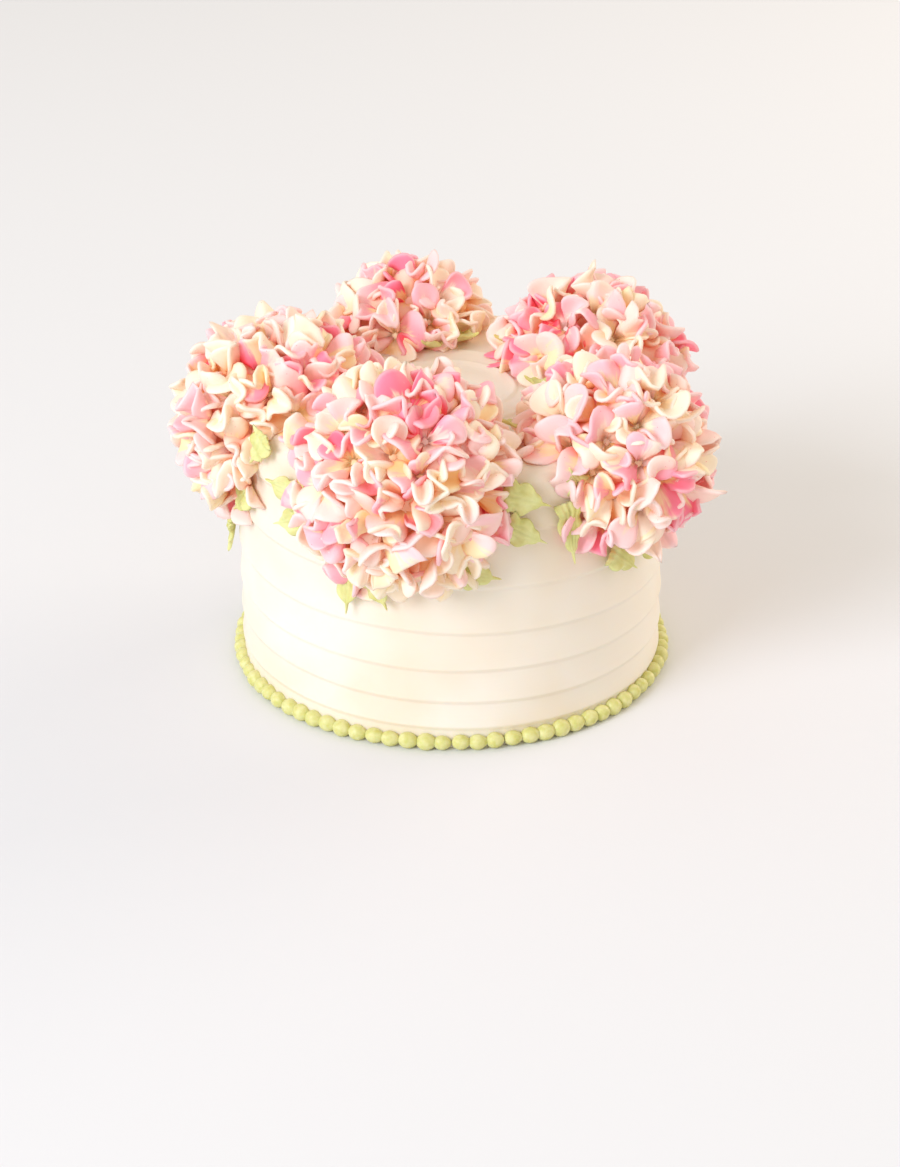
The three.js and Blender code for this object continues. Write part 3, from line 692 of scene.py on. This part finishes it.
# %% [markdown]
# ### Florets on a dome
# A baker turns the cake and puts each floret in the widest gap that is left. Rows and columns would show, and
# chance alone would leave holes, so the florets sit on a golden-angle lattice, as seeds do in a sunflower, and
# each strays a little from it. Where two domes meet, each keeps to its own side.

# %% Places on the cake
def head_centre(head):
    """The middle of a dome, from its azimuth about the cake, its distance and its height."""
    angle = math.radians(head["azimuth"])
    return np.array([head["reach"] * math.cos(angle), head["reach"] * math.sin(angle), head["height"]])


def outside_cake(points):
    """How far points are outside the cake: above its top or past its wall, whichever is more."""
    return np.maximum(points[..., 2] - CAKE_HEIGHT, np.hypot(points[..., 0], points[..., 1]) - CAKE_RADIUS)


def clear_of_seams(head, points):
    """Whether points lie on this dome's own side of the planes where it meets each other dome."""
    centre = head_centre(head)
    clear = np.ones(len(points), bool)
    for other in HEADS.values():
        if other is head:
            continue
        normal = head_centre(other) - centre
        apart = np.linalg.norm(normal)
        normal = normal / apart
        share = (apart**2 + head["radius"] ** 2 - other["radius"] ** 2) / (2 * apart)
        clear &= points @ normal < centre @ normal + share
    return clear


centres = [head_centre(head) for head in HEADS.values()]
print("from one dome to the next:", [round(math.dist(*pair)) for pair in zip(centres, centres[1:])], "mm")


# %% Where the florets sit
GOLDEN_ANGLE = math.pi * (3 - math.sqrt(5))
FLORET_PITCH = 15
LATTICE_SHARE = 0.866  # what a floret takes up on a lattice of triangles, as a share of its pitch squared
FLORET_SINK = 5  # how deep in the cake a floret may start
FLORET_JITTER = (0.5, 4)  # how far a floret strays on its lattice: in steps of height, and in degrees round
FLORET_LIFT = (-1.5, 2)  # how far in or out of its dome a floret is put
FLORET_TILT = 14  # how far it tilts, in degrees


def unit(vectors):
    """The vectors at a length of one."""
    return vectors / np.maximum(np.linalg.norm(vectors, axis=-1, keepdims=True), 1e-9)


def florets_of(head, radius):
    """Florets on a golden-angle lattice, strayed, lifted and tilted: numbers, places, and frames turned by a draw."""
    middle = radius + PETAL_HEIGHT / 2
    count = round(4 * math.pi * middle**2 / (LATTICE_SHARE * FLORET_PITCH**2))
    i = np.arange(count)
    number = head["id"] * 100 + i
    stray = [between(-1, 1, draw(number, trait + 1)) * most for trait, most in enumerate(FLORET_JITTER)]
    height = np.clip(1 - (2 * i + 1 + stray[0]) / count, -1, 1)
    angle = i * GOLDEN_ANGLE + np.radians(stray[1])
    flat = np.sqrt(1 - height**2)
    radial = np.stack([flat * np.cos(angle), flat * np.sin(angle), height], -1)
    place = head_centre(head) + radius * radial
    keep = (outside_cake(place) >= -FLORET_SINK) & clear_of_seams(head, place)
    number, place, radial = number[keep], place[keep], radial[keep]
    place = place + between(*FLORET_LIFT, draw(number, 10))[:, None] * radial
    tilt = np.stack([between(-1, 1, draw(number, trait)) for trait in (11, 12, 13)], -1)
    normal = unit(radial + math.tan(math.radians(FLORET_TILT)) * tilt)
    spin = (draw(number, 3) * math.pi)[:, None]
    side = unit(np.stack([-normal[:, 1], normal[:, 0], 0 * normal[:, 0]], -1))
    ahead = side * np.cos(spin) + np.cross(normal, side) * np.sin(spin)
    return [number, place, normal, ahead, np.cross(normal, ahead)]


print("florets:", [len(florets_of(head, head["radius"] - PETAL_HEIGHT)[0]) for head in HEADS.values()])

# %% The petals of a dome
ROOT_THICKNESS = 2.8
EDGE_THICKNESS = 1.3
SIDE_THINNESS = 0.55  # how thick the sides are, as a share of the middle
SIDE_ZONE = 0.35  # how far in they thicken, as 1 - v squared
FLORET_LIKENESS = 0.4  # how alike the petals of one floret are in colour


def petals_of(florets):
    """Every petal of some florets: points, UV places and colour draws."""
    number = florets[0]
    petal = np.arange(PETALS_PER_FLORET)
    ids = (number[:, None] * 10 + petal).ravel()[:, None, None]
    traits = {name: between(*ends, draw(ids, i + 1)) for i, (name, ends) in enumerate(PETAL_RANGES.items())}
    u = np.linspace(0, 1, RAY_STEPS + 1)[None, :, None]
    v = np.sin(np.linspace(-0.5, 0.5, SIDE_STEPS + 1) * math.pi)[None, None, :]
    sheet = petal_sheet(traits, u, v)
    normals = unit(np.cross(np.gradient(sheet, axis=1), np.gradient(sheet, axis=2)))
    half = 0.5 * between(ROOT_THICKNESS, EDGE_THICKNESS, u) * (u < 1) * (u > u[0, 1, 0]) * (abs(v) < 1)
    half = half * between(SIDE_THINNESS, 1, smooth((1 - v**2) / SIDE_ZONE))
    half = half[..., None] * normals
    local = lens_points(*(part[:, RAY_PICKS, ::SIDE_SKIP] for part in (sheet + half, sheet - half)))
    turn = (2 * math.pi * petal / PETALS_PER_FLORET)[None, :] + np.zeros((len(number), 1))
    turn = turn.ravel()[:, None] + np.radians(traits["skew"][..., 0])
    out = local[..., 0] * np.cos(turn) - local[..., 1] * np.sin(turn)
    across = local[..., 0] * np.sin(turn) + local[..., 1] * np.cos(turn)
    place, normal, ahead, beside = (np.repeat(x, PETALS_PER_FLORET, axis=0)[:, None] for x in florets[1:])
    points = place + out[..., None] * ahead + across[..., None] * beside + local[..., 2:] * normal
    flat = np.stack(np.broadcast_arrays((v + 1) / 2, u, 0 * u), -1)[:, RAY_PICKS, ::SIDE_SKIP]
    uv = np.broadcast_to(lens_points(flat, flat)[..., :2], points.shape[:-1] + (2,))
    own = np.stack([draw(ids[:, 0, 0], trait) for trait in (31, 32, 33)], -1)
    shared = np.repeat(np.stack([draw(number, trait) for trait in (34, 35, 36)], -1), PETALS_PER_FLORET, axis=0)
    draws = between(own, shared, FLORET_LIKENESS)
    return points, uv, np.broadcast_to(draws[:, None], points.shape)


print("petals are", ROOT_THICKNESS, "mm thick at the heart and", EDGE_THICKNESS, "mm at the edge")

# %% [markdown]
# ### Petals that meet the icing
# The baker pipes the lowest florets right against the cake, and their petals bend where they meet it. A petal
# that ran straight on would cut into the icing and come out again as a sliver. So points near the icing's skin
# are pressed back out of it, less and less the deeper they are, and a petal that is nearly all inside is left
# out.

# %% Pressing petals out of the icing
PRESS = 1.6  # how far from the skin a petal starts to bend
BURY = 2.5  # how deep a point may be and still be pressed all the way out
HIDDEN = 1  # a petal is left out where half of it is deeper than this
SHOWN_HEIGHT = 3  # unless it stands out this far somewhere


def pressed(points):
    """Points near the cake or inside its skin, pressed back out of it: a distance d from the skin becomes
    PRESS * exp(d / PRESS - 1) where it is below PRESS, and the push fades out from BURY deep to the rim's radius."""
    out = np.hypot(points[..., 0], points[..., 1])
    corner = np.stack([out - TOP_END, points[..., 2] - CAKE_HEIGHT + RIM_ROUND], -1)
    beyond = np.maximum(corner, 0)
    reach = np.linalg.norm(beyond, axis=-1)
    skin = reach - RIM_ROUND
    push = np.where(skin < PRESS, PRESS * np.exp(np.minimum(skin / PRESS, 1) - 1) - skin, 0)
    push = push * (1 - smooth((-BURY - skin) / (RIM_ROUND - BURY)))
    way = beyond * (push / np.maximum(reach, 1e-6))[..., None]
    aside = points[..., :2] * (1 + way[..., :1] / np.maximum(out, 1e-6)[..., None])
    return np.concatenate([aside, points[..., 2:] + way[..., 1:]], -1)


def shows(points):
    """Whether each petal is kept: half of it is near the skin or outside, or some of it stands well out."""
    outside = outside_cake(points)
    return (np.mean(outside > -HIDDEN, 1) > 0.5) | (outside.max(1) > SHOWN_HEIGHT)


print("a point right on the skin moves out by", round(PRESS / math.e, 2), "mm")

# %% [markdown]
# ### The middle of a dome, and the hearts
# Under the petals is the mound of cream that they were piped on, a plain ball. Where the petals of a floret meet,
# a small flat mound closes the hole. Both are balls laid out as two square grids, which have no pole where thin
# triangles crowd.

# %% Balls
HEART_GRID = 5
HEART_RADIUS = 1.7
HEART_HEIGHT = 0.9
HEART_LIFT = 0.1


def ball(count):
    """A ball of radius 1 as a closed form of two square grids: a grid place (x, y) goes to x * root(1 - y^2 / 2),
    y * root(1 - x^2 / 2), which makes the square a disc, and stands root((1 - x^2)(1 - y^2)) above or below it."""
    x, y = np.meshgrid(*[np.sin(np.linspace(-0.5, 0.5, count) * math.pi)] * 2, indexing="ij")
    rise = np.sqrt(np.maximum((1 - x**2) * (1 - y**2), 0))
    sides = [np.stack([x * np.sqrt(1 - y**2 / 2), y * np.sqrt(1 - x**2 / 2), side * rise], -1) for side in (1, -1)]
    return lens_points(*sides), lens_grid(count, count)[0][:, ::-1]


def hearts_of(florets):
    """The small mound of cream where the petals of a floret meet: a flat ball on each floret's own axes."""
    local, faces = ball(HEART_GRID)
    place, normal, ahead, beside = (x[:, None] for x in florets[1:])
    sideways = HEART_RADIUS * (local[:, :1] * ahead + local[:, 1:2] * beside)
    points = place + sideways + (HEART_LIFT + HEART_HEIGHT * local[:, 2:]) * normal
    return points.reshape(-1, 3), repeated(faces, len(local), len(points))


print("a heart has", len(ball(HEART_GRID)[1]), "triangles")

# %% One dome
CORE_GRID = 25
CORE_UV = 0.85  # the core is coloured as a petal is at this place
CORE_DRAW = 0.45  # with these draws
# Painted crevice shade: the core gets as much as a point this high among the petals, and each petal's heart gets
# less.
CORE_SHADE_HEIGHT = 0.5  # and as if it stood this high among the petals
HEART_SHADE_LIFT = 0.7  # how much less of the crevice colour a petal has at its heart

petal_faces, petal_points = lens_grid(len(RAY_PICKS), SIDE_STEPS // SIDE_SKIP + 1)


def dome(head):
    """A dome's points, faces, UV places and attributes: its core, its hearts and its petals, one after the other."""
    core_radius = head["radius"] - PETAL_HEIGHT
    florets = florets_of(head, core_radius)
    points, uv, draws = petals_of(florets)
    draws = draws + head["blush"] * np.array([1, 1, 0])
    heart_draws = draws[::PETALS_PER_FLORET, 0]
    kept = shows(points)
    points, uv, draws = pressed(points[kept]), uv[kept], draws[kept]
    core, core_faces = ball(CORE_GRID)
    core = head_centre(head) + core_radius * core
    hearts, heart_faces = hearts_of(florets)
    sheets = repeated(petal_faces[:, ::-1], petal_points, len(points)) + len(core) + len(hearts)
    faces = np.concatenate([core_faces, heart_faces + len(core), sheets])
    print(len(points), "petals, with", len(florets[0]), "hearts")
    whole = np.concatenate([core, hearts, points.reshape(-1, 3)])
    places = np.concatenate([np.full((len(core), 2), CORE_UV), np.zeros((len(hearts), 2)), uv.reshape(-1, 2)])
    # How high a point stands sets its painted crevice shade; the core and the hearts are lifted so that they get less
    # of it.
    above = (np.linalg.norm(whole - head_centre(head), axis=1) - core_radius) / PETAL_HEIGHT
    above[: len(core)] = CORE_SHADE_HEIGHT
    above = above + HEART_SHADE_LIFT * (1 - places[:, 1]) ** 2
    heart_draws = np.repeat(heart_draws, len(hearts) // len(florets[0]), axis=0)
    draws = np.concatenate([np.full((len(core), 3), CORE_DRAW), heart_draws, draws.reshape(-1, 3)])
    return whole, faces, places, {"petal_draws": draws, "petal_height": above}


# %% The five domes
for name, head in HEADS.items():
    whole, faces, places, values = dome(head)
    add_piece("petals_" + name, whole, faces, ["hydrangea_" + name], petal_cream, places, values)

# %% [markdown]
# ## Leaves
# A leaf nozzle leaves a ribbed blade with a crease down the middle, a crimped edge and a point where the cream was
# pulled away. The blade is the same kind of thin closed form as a petal, bent round the wall or laid on the top,
# and its ribs are waves across it. The cream is the pearls' green, paler and uneven, as it is mixed by hand.

# %% Leaf material
LEAF_TONES = [(0.35, "#cfcd7e"), (0.65, "#dfe0a0")]
leaf_cream = green_buttercream("leaf_green_buttercream", CREAM_ROUGHNESS, 160, LEAF_TONES, strength=0.3, height=0.3)
print("leaves:", leaf_cream.name)

# %% Leaf places, as the solids have them
WALL_LEAVES = [  # dome, azimuth, height, heading, length, half width
    ("left", -145, 103, -30, 15, 5.5),
    ("left", -156, 77, -40, 16, 5.5),
    ("left", -173, 60, -25, 16, 5),
    ("front", -135, 93, -100, 17, 6),
    ("front", -133, 81, -70, 16, 5.5),
    ("front", -116, 63, 0, 22, 5.5),
    ("front", -108, 63, 30, 15, 5.5),
    ("front", -84, 71, 80, 17, 6),
    ("front", -72, 98, 70, 18, 6.5),
    ("front", -72, 85, 60, 17, 5.5),
    ("right", -59, 102, -150, 15, 5),
    ("right", -60, 82, 5, 24, 5),
    ("right", -42, 64, 45, 17, 6),
    ("right", -30, 62, 30, 17, 6),
    ("right", -8, 80, 50, 18, 6),
    ("back_right", 12, 66, -35, 18, 6),
    ("back_right", 33, 60, 10, 20, 5.5),
    ("back_right", 60, 76, 55, 18, 6),
    ("back_left", 80, 86, -60, 17, 6),
    ("back_left", 101, 63, -10, 19, 6),
    ("back_left", 131, 80, 50, 18, 5.5),
    ("left", 162, 72.5, -45, 18, 6),
    ("left", 184, 52, 5, 19, 5.5),
]
TOP_LEAVES = [  # dome, azimuth, radius, heading, length, half width
    ("right", -61, 51, 185, 17, 5),
    ("back_left", 103, 35, 235, 13, 5.5),
    ("back_left", 84, 41, 330, 15, 5.5),
    ("back_right", 61, 44, 215, 13, 4.5),
    ("right", -13, 34, 165, 14, 5),
]
print(len(WALL_LEAVES), "leaves on the wall and", len(TOP_LEAVES), "on the top")

# %% The shape of a leaf
LEAF_THICKNESS = 2.8
LEAF_LIFT = 2.1  # how far its middle surface is from the cake
WALL_RISES = (2.6, 1.1)  # how far the tip and the edges of a leaf on the wall stand up
TOP_RISES = (5, 2.2)  # and of one on the top, which curls more
LEAF_BODY = 0.8  # the share of its length where the round body ends and only the drawn-out tip goes on
LEAF_SPIKE = 0.4  # how wide the tip would be at the leaf's root, as a share of the body
LEAF_SPIKE_POWER = 0.8  # how it narrows: 1 is straight, and less is blunter
LEAF_CRIMP = 1.1  # how high the waves along its edge are
LEAF_CRIMPS = 2.6  # how many there are
LEAF_SCALLOP = 0.14  # and how much they widen and narrow it
LEAF_END = 0.995  # the tip ends where it is still a hair wide
LEAF_ENDS = (0.12, 0.06)  # the shares of its length over which it thickens at the root and thins at the tip
RIB_DEPTH = 0.5
RIBS = 2.5  # on each side of the crease


def leaf_surface(length, half_width, rises, seed, u, v, face):
    """Along, across and above the cake, for u from base to tip and v from edge to edge.
    The width is the cube root of two cubes: a round body, scalloped by a cosine of u, and a tip that is a power of
    1 - u. The middle rises with u squared, the edge rises and crimps as a sine of u, and ribs are a cosine of v."""
    body = np.sqrt(np.maximum(1 - (u / LEAF_BODY) ** 2, 0))
    wave = 2 * math.pi * (LEAF_CRIMPS * u + seed)
    spike = LEAF_SPIKE * (1 - u) ** LEAF_SPIKE_POWER
    width = half_width * np.cbrt((body * (1 + LEAF_SCALLOP * np.cos(wave))) ** 3 + spike**3)
    rise = body * (rises[1] + LEAF_CRIMP * np.sin(wave))
    middle = LEAF_LIFT + rises[0] * u**2 + rise * np.abs(v)
    rib = -RIB_DEPTH * np.cos(2 * math.pi * RIBS * np.abs(v)) * (1 - u)
    thick = np.sqrt(np.maximum(1 - v**2, 0)) * smooth(u / LEAF_ENDS[0]) * smooth((1 - u) / LEAF_ENDS[1])
    half = 0.5 * LEAF_THICKNESS * (1 - u / 2) * thick
    above = middle + half * face + np.where(face > 0, rib * (1 - v**2), 0)
    return np.broadcast_arrays(length * (u - 0.5), width * v, above)


def on_wall(azimuth, height, heading, surface):
    """Bends a leaf's surface round the wall: its length runs down when the heading is 0."""
    along, across, above = surface
    angle = math.radians(azimuth) + (along * math.sin(heading) + across * math.cos(heading)) / CAKE_RADIUS
    radius = CAKE_RADIUS + above
    down = along * math.cos(heading) - across * math.sin(heading)
    return np.stack([radius * np.cos(angle), radius * np.sin(angle), height - down], -1)


def on_top(azimuth, radius, heading, surface):
    """Lays a leaf's surface on the top, with its tip towards the heading."""
    along, across, above = surface
    angle = math.radians(azimuth)
    x = radius * math.cos(angle) + along * math.cos(heading) - across * math.sin(heading)
    y = radius * math.sin(angle) + along * math.sin(heading) + across * math.cos(heading)
    return np.stack([x, y, CAKE_HEIGHT + above], -1)


print("a leaf has", LEAF_CRIMPS, "waves along its edge and", RIBS, "ribs on each side")

# %% The leaves
LEAF_ROWS = 31
LEAF_COLUMNS = 17

leaf_faces = lens_grid(LEAF_ROWS, LEAF_COLUMNS)[0][:, ::-1]
u = np.linspace(0, LEAF_END, LEAF_ROWS)[:, None]
v = np.linspace(-1, 1, LEAF_COLUMNS)[None]
leaf_uv = np.stack(np.broadcast_arrays((v + 1) / 2, u, 0 * u), -1)
leaf_counts = dict.fromkeys(HEADS, 0)
placed = [(on_wall, WALL_RISES, leaf) for leaf in WALL_LEAVES] + [(on_top, TOP_RISES, leaf) for leaf in TOP_LEAVES]
for i, (put, rises, (head, azimuth, spot, heading, length, half_width)) in enumerate(placed):
    leaf_counts[head] += 1
    sides = [leaf_surface(length, half_width, rises, draw(i, 7), u, v, face) for face in (1, -1)]
    upper, lower = (put(azimuth, spot, math.radians(heading), side) for side in sides)
    title = f"{head}_{leaf_counts[head]}"
    add_piece(
        "piped_leaf_" + title,
        lens_points(upper, lower),
        leaf_faces,
        ["leaf_" + title],
        leaf_cream,
        uv=lens_points(leaf_uv, leaf_uv)[..., :2],
    )

# %% [markdown]
# ## Floor and light
# A plain pale floor and a bright, even room. One large soft light on the left, as cool as daylight, gives the
# shape. A warm white world fills the shadows, and a second, weak and warm light brightens the far side on the
# right. One strong lamp would leave black gaps between the petals, which the real cake doesn't have.

# %% Floor
FLOOR_SIDE = 6000
FLOOR_COLOUR = "#e3e4e7"
FLOOR_ROUGHNESS = 0.9

floor_material, _, shader = new_material("pale_floor")
fill(shader, {"Base Color": linear(FLOOR_COLOUR), "Roughness": FLOOR_ROUGHNESS})
corners = FLOOR_SIDE / 2 * np.array([(-1, -1, 0), (1, -1, 0), (1, 1, 0), (-1, 1, 0)])
mesh = bpy.data.meshes.new("floor")
mesh.from_pydata(corners * MM, [], [(0, 1, 2, 3)])
mesh.materials.append(floor_material)
floor = bpy.data.objects.new("floor", mesh)
bpy.context.scene.collection.objects.link(floor)
print("floor:", FLOOR_SIDE, "mm across")

# %% World
LIGHT_BOUNCES = 20  # pale cream passes light on many times before it is spent
WORLD_COLOUR = "#fff8ed"
WORLD_STRENGTH = 0.8

world = bpy.data.worlds.new("white_room")
world.use_nodes = True
bpy.context.scene.world = world
fill(world.node_tree.nodes["Background"], {"Color": linear(WORLD_COLOUR), "Strength": WORLD_STRENGTH})
bpy.context.scene.view_settings.view_transform = "Standard"
for bounces in ("diffuse_bounces", "transmission_bounces", "max_bounces"):
    setattr(bpy.context.scene.cycles, bounces, LIGHT_BOUNCES)
print("world:", WORLD_COLOUR, "at", WORLD_STRENGTH)


# %% Lights
def soft_light(name, place, target, side, power, colour):
    """A square area light of that side at a place, turned to face the target."""
    lamp = bpy.data.lights.new(name, "AREA")
    lamp.size = side * MM
    lamp.energy = power
    lamp.color = linear(colour)[:3]
    holder = bpy.data.objects.new(name, lamp)
    bpy.context.scene.collection.objects.link(holder)
    ray = np.subtract(target, place)
    yaw = math.atan2(-ray[0], ray[1])
    pitch = math.atan2(math.hypot(ray[0], ray[1]), -ray[2])
    holder.location = [x * MM for x in place]
    holder.rotation_euler = (pitch, 0, yaw)
    print(name, power, "W,", round(math.dist(place, target)), "mm away")


soft_light("daylight_left", (-2150, -2150, 1700), CAKE_MIDDLE, side=1500, power=92, colour="#e6efff")
soft_light("warm_light_right", (1500, 900, 700), CAKE_MIDDLE, side=1200, power=14, colour="#ffeedc")
